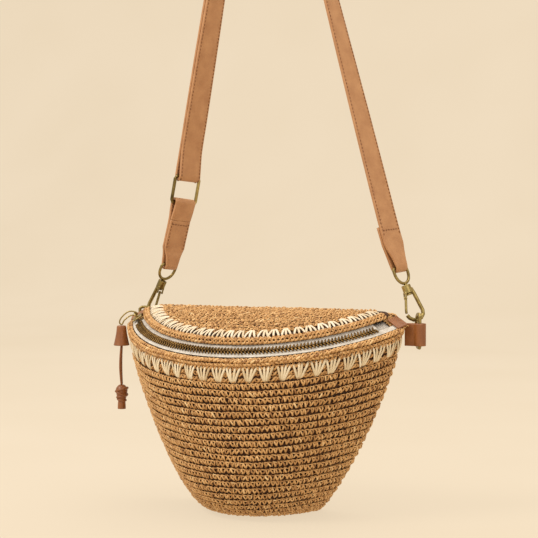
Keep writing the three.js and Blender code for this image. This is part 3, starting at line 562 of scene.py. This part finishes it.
# ---- Fans of yarn along both sides of the zip ---------------------------------------------------------------
def fans(surface, length, pitch, near, far, spread=0.43, strands=3, wide=0.92, high=0.55, lift=0.2):
    """A fan at each place: strands apart at the zip and drawn together away from it."""
    count = int(length / pitch)
    paths, normals = [], []
    for i in range(count):
        centre = (i + 0.5 + rng.normal(0, 0.04)) * length / count
        for j in np.linspace(-1, 1, strands):
            start = centre + (j * spread + rng.normal(0, 0.03)) * pitch
            stop = centre + (j * 0.07 + rng.normal(0, 0.02)) * pitch
            t = np.linspace(0, 1, 7)
            s = start + (stop - start) * t ** 1.1
            r = near + (far - near) * t + rng.normal(0, 0.2)
            out = A([-0.9, 0.6, 1.05, 1.1, 0.95, 0.5, -1.0]) + rng.normal(0, 0.08, 7) + lift
            p, n = surface(s, r, out)
            paths.append(p)
            normals.append(n)
    return tubes(A(paths), A(normals), wide, high, 6)


ring_s = round_lengths(level(share_at(9.0)))


def body_band(s, r, out):
    k = np.interp(np.mod(s, ring_s[-1]), ring_s, np.arange(AROUND + 1))
    return on_body(k, share_at(r), out)


v, f, s = fans(body_band, ring_s[-1], 13.2, 5.2, 18.4, strands=4, wide=1.0)
piece("fans_body", v, f, CREAM, "bag", "cream_raffia", strand=s)


# ---- Top panel --------------------------------------------------------------------------------------------
DOME_V = 30     # how far in front of the back edge the dome is highest


def panel(u, v, out=0.0):
    """A place on the top panel's domed face: the same dome as the CAD panel."""
    u, v, out = np.broadcast_arrays(np.asarray(u, float), np.asarray(v, float), np.asarray(out, float))

    def lift(u, v):
        dv, c0 = v - DOME_V, DOME_V + CENTRE
        a = u ** 2 + dv ** 2
        b = 2 * dv * c0
        q = (-b + np.sqrt(np.maximum(b * b - 4 * a * (c0 ** 2 - LID_R ** 2), 0))) / np.maximum(2 * a, 1e-6)
        q = np.minimum(q, np.where(v < DOME_V - 0.1, DOME_V / np.maximum(DOME_V - v, 0.1), 1e9))
        share = np.clip(1 / np.maximum(q, 1e-6), 0.25, 1)
        return LID_LIFT + LID_THICK + LID_DOME * (1 - share ** 2) * np.minimum(v / DOME_V, 1)

    z = lift(u, v)
    gu = (lift(u + 0.5, v) - lift(u - 0.5, v))
    gv = (lift(u, v + 0.5) - lift(u, v - 0.5))
    c, s = math.cos(TILT), math.sin(TILT)
    flat = unit(np.stack([-gu, -gv, np.ones_like(gu)], -1))
    n = np.stack([flat[..., 0], -flat[..., 1] * c - flat[..., 2] * s, -flat[..., 1] * s + flat[..., 2] * c], -1)
    return on_top(u, v, z) + n * out[..., None], n


parts = []
for v0 in np.arange(3.2, LID_R - CENTRE - 14, 6.0):
    half = math.sqrt((LID_R - 13) ** 2 - (v0 + CENTRE) ** 2) - 1
    half = min(half, 112 + v0 if v0 < 9 else 200)
    count = int(2 * half / STITCH)
    centres = -half + (np.arange(count) + 0.5) * 2 * half / count

    def surface(s_, r, out, v0=v0):
        return panel(s_, np.clip(v0 + r + 0.3 * np.sin(s_ / 17 + v0), 0.4, None), out)

    parts.append(stitches(surface, centres, STITCH, 5.6, kind=ROW_STITCH, scale=0.95, lift=-0.2))
v, f, s = collect(parts)
piece("crochet_panel", v, f, RAFFIA, "lid", "raffia", strand=s)
touch = math.atan2(math.sqrt((LID_R - LID_CORNER) ** 2 - (LID_CORNER + CENTRE) ** 2), LID_CORNER + CENTRE)
arc = 2 * touch * LID_R


def lid_band(s, r, out):
    t = (np.asarray(s) / arc - 0.5) * 2 * touch
    rad = LID_R - np.asarray(r)
    return panel(rad * np.sin(t), np.maximum(rad * np.cos(t) - CENTRE, 0.3), out)


v, f, s = fans(lid_band, arc, 10.4, 4.9, 18.5, strands=3, spread=0.42, lift=0.9, wide=1.0)
piece("fans_panel", v, f, WHITE, "lid", "cream_raffia", strand=s)


def braid(r0, pitch, high, **extra):
    count = int(arc / pitch)
    centres = (np.arange(count) + 0.5) * arc / count
    return stitches(lambda s_, r, out: lid_band(s_, r0 + r, out), centres, pitch, high, loose=0.5, **extra)


def lid_edge(s_, r, out):
    """On the top panel's outer side: r runs up it."""
    t = (np.asarray(s_) / arc - 0.5) * 2 * touch
    n = np.stack([np.sin(t), -np.cos(t) * math.cos(TILT), -np.cos(t) * math.sin(TILT)], -1)
    rad = LID_R - 0.4 + np.asarray(out)
    return on_top(rad * np.sin(t), rad * np.cos(t) - CENTRE, LID_LIFT + 1.7 + np.asarray(r)), n


count = int(arc / BRAID_PITCH)
edge = stitches(lid_edge, (np.arange(count) + 0.5) * arc / count, BRAID_PITCH, LID_BRAID_HIGH, scale=0.6,
                loose=0.5)
v, f, s = collect([braid(1.4, BRAID_PITCH, LID_BRAID_HIGH, lift=-0.1),
                   braid(3.9, BRAID_PITCH, LID_BRAID_HIGH, flip=True, lift=-0.1), edge])
piece("panel_braid", v, f, RAFFIA, "lid", "raffia", strand=s)

# Dark sheet behind the top panel's stitches: its dark brown is painted shade in the gaps between them.
outline = half_moon(LID_R - 0.8, LID_CORNER, 180)
rings = []
for share, low in ((0.2, 1), (0.55, 1), (0.8, 1), (1.0, 1), (1.0, 0), (0.8, 0), (0.55, 0), (0.2, 0)):
    u, v = outline[:, 0] * share, DOME_V + (np.maximum(outline[:, 1], 0.3) - DOME_V) * share
    rings.append(panel(u, v, -0.8 - 2.2 * low)[0])
v, f = loft(rings)
panel_back = piece("panel_shade_sheet", v, f, PAINTED_SHADE, "lid", "raffia")
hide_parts("top_panel")

# The corners past both ends of the zip are crocheted shut; they stay with the bag when the top opens.
CORNER_FROM, CORNER_TO, CORNER_START, CORNER_PITCH = 64.4, 70.6, 65.0, 3.4
TAPE_FROM, TAPE_TO = 57.4, 64.3


def slab(sign, start, stop, out_from, out_to, low, top):
    """A flat strip along the zip's cone, between two angles."""
    edges = ((out_from, low), (out_to, low), (out_to, top), (out_from, top))
    return loft([[on_zip(sign * a_, o, h_) for o, h_ in edges] for a_ in np.linspace(start, stop, 8)])


for name, sign in (("corner_left", -1), ("corner_right", 1)):
    parts = []
    for o in np.arange(-9.2, 6.6, 2.6):
        def corner(s_, r, out, o=o):
            angle = sign * (CORNER_START + np.asarray(s_) / ZIP_R * 57.3)
            up_ = on_zip(angle, 0, 1) - on_zip(angle, 0, 0)
            return on_zip(angle, o + np.asarray(r), -2.6 + np.asarray(out)), up_

        parts.append(stitches(corner, np.arange(0.5, 13, CORNER_PITCH), CORNER_PITCH, 2.9, scale=0.5, loose=0.6))
    v, f, s = collect(parts)
    piece(name, v, f, RAFFIA, "bag", "raffia", strand=s)
    # Dark sheet under the corner's stitches: painted shade in the gaps between them.
    piece(f"{name}_shade_sheet", *slab(sign, CORNER_FROM, CORNER_TO, -9.8, 6.4, -4.0, -2.9), PAINTED_SHADE, "bag", "raffia")
    # Tape below the end of the zip, which closes the corner up to the crochet.
    piece(f"{name}_tape", *slab(sign, TAPE_FROM, TAPE_TO, -9.6, 1.6, -4.4, -3.5), TAPE, "bag", "zip_tape")

# ---- Zip teeth -------------------------------------------------------------------------------------------------
TOOTH_PITCH = 2.9
for row, sign, body in (("zip_teeth_body", 1, "bag"), ("zip_teeth_lid", -1, "lid")):
    step = math.degrees(TOOTH_PITCH / ZIP_R)
    angles = np.arange(-HALF_SPAN + 0.6, HALF_SPAN - 0.4, step) + (step / 2 if sign > 0 else 0)
    outs = sign * A([3.5, 2.4, 1.2, 0.2, -0.25])
    lean = A([0.45, 0.3, 0.1, -0.1, -0.2]) * step
    paths = A([[on_zip(a + d, o, 0) for a, d, o in zip([x] * 5, lean, outs)] for x in angles])
    up = A([[on_zip(x, 0, 1) - on_zip(x, 0, 0)] * 5 for x in angles])
    v, f, _ = tubes(paths, up, A([0.95, 0.9, 0.7, 0.85, 0.6]), A([0.8, 0.8, 0.72, 0.8, 0.6]), 8)
    teeth = piece(row.replace("zip_", ""), v, f, DARK_BRASS, body, "antique_brass")
    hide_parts(row)


# ---- Straps: strips of leather with a rounded edge and a row of stitches along both edges -------------------
THREAD_WIDE, THREAD_HIGH, SEAM_PITCH, SEAM_INSET, CROSS_INSET = 0.4, 0.34, 3.1, 1.5, 1.9
THREAD_OUT = A([-0.35, 0.12, 0.25, 0.12, -0.35])     # each thread dips into the leather at both ends


def square_to(direction, base):
    return unit(base - direction * base.dot(direction))


def strip(stations, thick, count):
    """stations: (place, across, width). Returns the lofted strip and its smooth stations."""
    p = A([s[0] for s in stations])
    line = catmull(p, count)
    s, e = lengths(p), lengths(line)
    e *= s[-1] / e[-1]
    acr = unit(np.stack([np.interp(e, s, A([x[1][k] for x in stations])) for k in range(3)], -1))
    wid = np.interp(e, s, [x[2] for x in stations])
    t = unit(np.gradient(line, axis=0))
    face = unit(np.cross(t, acr))
    h, r = thick / 2, 0.55
    edge_in, edge_on = 0.012, 0.045     # how far the rounding reaches, in half widths
    prof = [(-1, -h + r), (-1, h - r), (-1 + edge_in, h - r * .3), (-1 + edge_on, h), (-.5, h), (0, h), (.5, h),
            (1 - edge_on, h), (1 - edge_in, h - r * .3), (1, h - r), (1, -h + r), (1 - edge_in, -h + r * .3),
            (1 - edge_on, -h), (.5, -h), (0, -h), (-.5, -h), (-1 + edge_on, -h), (-1 + edge_in, -h + r * .3)]
    rings = [[line[i] + acr[i] * u * wid[i] / 2 + face[i] * v for u, v in prof] for i in range(count)]
    return loft(rings), (line, acr, face, wid, e)


def at_distance(track, which, x):
    """A value of the strip's smooth stations at a distance along it: 0 place, 1 across, 2 face."""
    return np.stack([np.interp(x, track[4], track[which][:, k]) for k in range(3)], -1)


def seam(track, start, stop, thick, faces=(1, -1)):
    """Threads laid along the edges of a strip between two distances along it."""
    paths, normals = [], []
    for side in (-1, 1):
        for look in faces:
            for d in np.arange(start, stop, SEAM_PITCH):
                x = d + A([0.15, 0.3, 0.5, 0.7, 0.85]) * SEAM_PITCH
                n = unit(at_distance(track, 2, x)) * look
                w = np.interp(x, track[4], track[3])[:, None] / 2 - SEAM_INSET
                out = (thick / 2 + THREAD_OUT)[:, None]
                paths.append(at_distance(track, 0, x) + unit(at_distance(track, 1, x)) * side * w + n * out)
                normals.append(n)
    return tubes(A(paths), A(normals), THREAD_WIDE, THREAD_HIGH, 6)[:2]


def cross_seam(track, distance, thick):
    """Threads laid across a strip, on both faces."""
    paths, normals = [], []
    for look in (1, -1):
        half = np.interp(distance, track[4], track[3]) / 2 - CROSS_INSET
        for c in np.arange(-half, half - 1.5, 3.0):
            n = unit(at_distance(track, 2, distance)) * look
            x = c + A([0.1, 0.6, 1.3, 2.0, 2.5])
            out = thick / 2 + THREAD_OUT
            paths.append(at_distance(track, 0, distance) + unit(at_distance(track, 1, distance)) * x[:, None]
                         + n * out[:, None])
            normals.append(np.broadcast_to(n, (5, 3)))
    return tubes(A(paths), A(normals), THREAD_WIDE, THREAD_HIGH, 6)[:2]


# Places of the hardware, as in the CAD part.
WIDE = A([math.cos(math.radians(67)), math.sin(math.radians(67)), 0])
RING_TOP, RING_LOW = A([-81, 19, 282.5]), A([-85.5, 19, 259.5])
EYE = {"left": A([-99.5, 19, 204]), "right": A([117.7, 19, 204])}
LEFT_UP = unit(A([-52.7, 19, 438.7]) - RING_TOP)
RIGHT_UP = unit(A([55.6, 19, 434]) - EYE["right"])
PEG, LAYER = 15.0, 1.35       # the bend's radius at the top, and half the step between two layers
LEG = 12                      # stations along each leg
slope_a, slope_b = LEFT_UP[0] / LEFT_UP[2], RIGHT_UP[0] / RIGHT_UP[2]
top_z = (EYE["right"][0] - RING_TOP[0] + slope_a * RING_TOP[2] - slope_b * EYE["right"][2]) / (slope_a - slope_b)
top = A([RING_TOP[0] + slope_a * (top_z - RING_TOP[2]), 19, top_z])
ang_a, ang_b = math.atan(slope_a), math.atan(slope_b)
half, lean = (ang_a - ang_b) / 2, (ang_a + ang_b) / 2
peg = top + A([-math.sin(lean), 0, -math.cos(lean)]) * PEG / math.sin(half)
PEG_ACROSS = A([0, 1.0, 0])


def leg_end(a):
    return peg + A([-math.cos(a), 0, math.sin(a)]) * PEG * np.sign(a)


def ease(x):
    return x * x * (3 - 2 * x)


def left_leg(i):
    """The left leg's place, across and outer face: it turns from the ring's plane to the peg's."""
    x = i / LEG
    at = (RING_TOP + LEFT_UP * 24) * (1 - x) + leg_end(ang_a) * x
    across = unit(square_to(LEFT_UP, WIDE) * (1 - ease(x)) + PEG_ACROSS * ease(x))
    face = unit(np.cross(across, LEFT_UP))
    return at, across, face if face[0] < 0 else -face


def fold(centre, up, radius, face, steps=10):
    """Places round a fold of the leather, from one face to the other."""
    return [centre + face * radius * math.cos(t) - up * radius * math.sin(t)
            for t in np.linspace(0, math.pi, steps)]


stations = []
for i in range(8, -1, -1):
    at, across, out = left_leg(i)
    stations.append((at + out * 2 * LAYER - LEFT_UP * (2.7 if i == 8 else 0), across, WIDTH))
_, across, out = left_leg(0)
ring_fold = RING_WIRE + 0.4 + THICK / 2
stations.append((RING_TOP + LEFT_UP * 9 + out * ring_fold, across, WIDTH))
stations += [(p, across, WIDTH) for p in fold(RING_TOP, LEFT_UP, ring_fold, out)]
stations.append((RING_TOP + LEFT_UP * 9 - out * ring_fold * 0.6, across, WIDTH))
for i in range(LEG + 1):
    at, across, _ = left_leg(i)
    stations.append((at, across, WIDTH))
sweep = math.pi - (ang_a - ang_b)
for i in range(1, 10):
    t = math.pi - ang_a - sweep * i / 10
    stations.append((peg + A([math.cos(t), 0, math.sin(t)]) * PEG, PEG_ACROSS, WIDTH))
right_top = leg_end(ang_b)
stations.append((right_top, PEG_ACROSS, WIDTH))
R_ACROSS = square_to(RIGHT_UP, WIDE)
right_out = unit(np.cross(R_ACROSS, RIGHT_UP))
right_out = right_out if right_out[0] > 0 else -right_out
eye_fold = EYE_WIRE + 0.6 + THICK / 2


def above(s, off):
    return EYE["right"] + RIGHT_UP * s + right_out * off


for i in range(1, LEG + 1):
    x = i / LEG
    across = unit(PEG_ACROSS * (1 - ease(x)) + R_ACROSS * ease(x))
    stations.append((right_top * (1 - x) + above(40, 0) * x, across, WIDTH))
stations += [(above(20, 0.6), R_ACROSS, WIDTH), (above(8, eye_fold * 0.7), R_ACROSS, NECK + 3)]
stations += [(p, R_ACROSS, NECK) for p in fold(EYE["right"], RIGHT_UP, eye_fold, right_out)]
stations += [(above(8, -eye_fold), R_ACROSS, NECK + 3), (above(20, 0.6 - 2 * LAYER), R_ACROSS, WIDTH),
             (above(36, -2 * LAYER), R_ACROSS, WIDTH)]
shape, track = strip(stations, THICK, 420)
strap = piece("strap", *shape, LEATHER, "strap", "leather")
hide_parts("main_strap")
total = track[4][-1]
piece("strap_stitching", *merge(seam(track, 4, total - 74, THICK), cross_seam(track, total - 78, THICK),
                                seam(track, total - 28, total - 4, THICK)), THREAD, "strap", "leather")

# Short doubled strap between the strap ring and the left hook.
up = unit(RING_LOW - EYE["left"])
across = square_to(up, WIDE)
face = unit(np.cross(across, up))
out = face if face[1] < 0 else -face
length = np.linalg.norm(RING_LOW - EYE["left"])
high, low, full = ring_fold, eye_fold, WIDTH - 1


def short(s, off):
    return EYE["left"] + up * s + out * off


stations = [(short(length - 16, LAYER), across, full), (short(length - 8, high * .8), across, full)]
stations += [(p, across, full) for p in fold(RING_LOW, -up, high, out)]
stations += [(short(length - 8, -high * .8), across, full), (short(length - 16, -LAYER), across, full),
             (short(16, -LAYER), across, full), (short(8, -low * .8), across, NECK + 3)]
stations += [(p, across, NECK) for p in fold(EYE["left"], up, low, -out)]
stations += [(short(8, low * .8), across, NECK + 3), (short(16, LAYER), across, full),
             (short(length - 16.3, LAYER), across, full)]
shape, track = strip(stations, THICK, 200)
short_strap = piece("short_leather", *shape, LEATHER, "short_strap", "leather")
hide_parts("short_strap")
total = track[4][-1]
piece("short_stitching", *merge(seam(track, 26, 44, THICK, faces=(-1, 1)),
                                seam(track, total - 26, total - 3, THICK, faces=(-1, 1)),
                                cross_seam(track, total - 3.5, THICK)), THREAD, "short_strap", "leather")

# ---- Metal and small leather, from the CAD meshes with their facets worn round ---------------------------------
bodies = {"zip_slider": "slider", "pull_tab": "pull_link", "strap_ring": "strap_ring", "strap_adjuster": "strap"}
for side in ("left", "right"):
    bodies.update({f"side_ring_{side}": f"ring_{side}", f"hook_eye_{side}": f"eye_{side}",
                   f"hook_body_{side}": f"hook_{side}", f"hook_gate_{side}": f"gate_body_{side}"})
for name, body in bodies.items():
    cast(f"cast_{name}", name, 0.3, 5, BRASS, body)
for name, voxel in (("side_loop_left", 0.45), ("side_loop_right", 0.45),
                    ("zip_end_tab_left", 0.4), ("zip_end_tab_right", 0.4)):
    cast(f"shaped_{name}", name, voxel, 3, LOOP_LEATHER, "bag")


def lathe(profile, top_at, count=40):
    """A turned solid: its profile is (radius, height) from the top down."""
    t = np.arange(count) * 2 * np.pi / count
    rings = []
    for r, _, z in catmull(A([[r, 0, z] for r, z in profile]), len(profile) * 5):
        r = np.maximum(r, 0.05)
        rings.append(top_at + np.stack([r * np.cos(t), r * np.sin(t), np.full(count, z)], -1))
    return loft(rings)


CAP_PROFILE = [(0.1, 0), (3.5, -0.1), (4.2, -1.5), (4.8, -7), (6.6, -15.6), (7.1, -16.8), (6.5, -17.6),
               (4.5, -17.5), (0.1, -17.4)]
KNOT_PROFILE = [(0.1, 0), (2.6, -0.5), (4.9, -3.2), (5.1, -6), (4.2, -11), (3.2, -14.6), (3.4, -16), (3.6, -21),
                (3.2, -21.5), (0.1, -21.4)]
cap = piece("cap", *lathe(CAP_PROFILE, drop(CAP_DROP)), LOOP_LEATHER, "pull", "leather")
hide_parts("pull_cap")
knot_top = drop(KNOT_DROP)
knot_core = lathe(KNOT_PROFILE, knot_top)
wraps = []
for tilt_, z, r in ((0.35, -4.6, 5.0), (-0.4, -7.4, 4.7), (0.25, -10.6, 3.9), (-0.2, -13.4, 3.3)):
    t = np.linspace(0, 2 * np.pi, 24, endpoint=False)
    wrap = knot_top + np.stack([r * np.cos(t), r * np.sin(t), z + tilt_ * r * np.cos(t)], -1)
    wraps.append(rod(wrap, 1.15, True, 10))
knot = piece("knot", *merge(knot_core, *wraps), LOOP_LEATHER, "pull", "leather")
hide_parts("pull_knot")
for side, sign in (("left", -1), ("right", 1)):
    line = lace(sign)
    cord = piece(f"lace_{side}", *rod(line, LACE_RADIUS, count=64), LOOP_LEATHER, "pull", "leather")
    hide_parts(f"pull_lace_{side}")
    length = float(np.linalg.norm(np.diff(line, axis=0), axis=1).sum()) / 1000

# CAD nodes that stay as they are.
for name, material in (("body_lining", LINING), ("lid_lining", LINING), ("zip_tape_body", TAPE),
                       ("zip_tape_lid", TAPE), ("gate_pin_left", BRASS), ("gate_pin_right", BRASS)):
    me = frame["nodes"][name].data
    me.materials.clear()
    me.materials.append(material)

# ---- Stage -------------------------------------------------------------------------------------------------------
FLOOR = -ORIGIN[2] / 1000 - 0.0022        # just under the lowest strands, in metres
FLOOR_HALF, FLOOR_NEAR, FLOOR_BEND, BEND_RADIUS, WALL = 5.0, -3.0, 1.6, 1.2, 5.0
m, n, l, out = shader("floor")
cloth = noise(n, l, 3.0, 2.0)
r = ramp(n, (0.0, lin(226, 208, 180)), (1.0, lin(233, 216, 190)))
l.new(cloth, r.inputs[0])
l.new(r.outputs[0], out.inputs["Emission Color"])
out.inputs["Emission Strength"].default_value = 0.913
out.inputs["Base Color"].default_value = (0.14, 0.118, 0.09, 1)
out.inputs["Roughness"].default_value = 1.0
out.inputs["Specular IOR Level"].default_value = 0.0
t = np.linspace(0, math.pi / 2, 24)
bend = [(FLOOR_BEND + BEND_RADIUS * math.sin(x), BEND_RADIUS - BEND_RADIUS * math.cos(x)) for x in t]
side_line = [(FLOOR_NEAR, 0.0)] + bend + [(FLOOR_BEND + BEND_RADIUS, WALL)]
verts = [(x, y, z + FLOOR) for x in (-FLOOR_HALF, FLOOR_HALF) for y, z in side_line]
k = len(side_line)
me = bpy.data.meshes.new("floor")
me.from_pydata(verts, [], [[i, i + k, i + k + 1, i + 1] for i in range(k - 1)])
me.polygons.foreach_set("use_smooth", np.ones(len(me.polygons), bool))
me.materials.append(m)
floor = bpy.data.objects.new("floor", me)
bpy.context.scene.collection.objects.link(floor)

scene_world = bpy.context.scene.world or bpy.data.worlds.new("world")
bpy.context.scene.world = scene_world
scene_world.use_nodes = True
bg = scene_world.node_tree.nodes["Background"]
bg.inputs["Color"].default_value = (1.0, 0.94, 0.86, 1)
bg.inputs["Strength"].default_value = 0.8
tree = scene_world.node_tree
seen = tree.nodes.new("ShaderNodeBackground")
seen.inputs["Color"].default_value = lin(237, 217, 190)
path = tree.nodes.new("ShaderNodeLightPath")
either = tree.nodes.new("ShaderNodeMixShader")
tree.links.new(path.outputs["Is Camera Ray"], either.inputs[0])
tree.links.new(bg.outputs[0], either.inputs[1])
tree.links.new(seen.outputs[0], either.inputs[2])
tree.links.new(either.outputs[0], tree.nodes["World Output"].inputs["Surface"])


LAMP = (1, 0.96, 0.9)


def light(name, place, aim, size, power):
    data = bpy.data.lights.new(name, "AREA")
    data.shape = "SQUARE"
    data.size, data.energy, data.color = size, power, LAMP
    ob = bpy.data.objects.new(name, data)
    bpy.context.scene.collection.objects.link(ob)
    ob.location = place
    ob.rotation_mode = "QUATERNION"
    ob.rotation_quaternion = (Vector(aim) - Vector(place)).to_track_quat("-Z", "Y")


light("key", (-0.9, -1.1, 0.9), (0, 0, -0.5), 0.7, 20)
light("top", (0.3, 0.2, 1.2), (0, 0, -0.6), 1.6, 16)
light("fill", (1.6, -1.2, 0.2), (0, 0, -0.5), 1.4, 7)
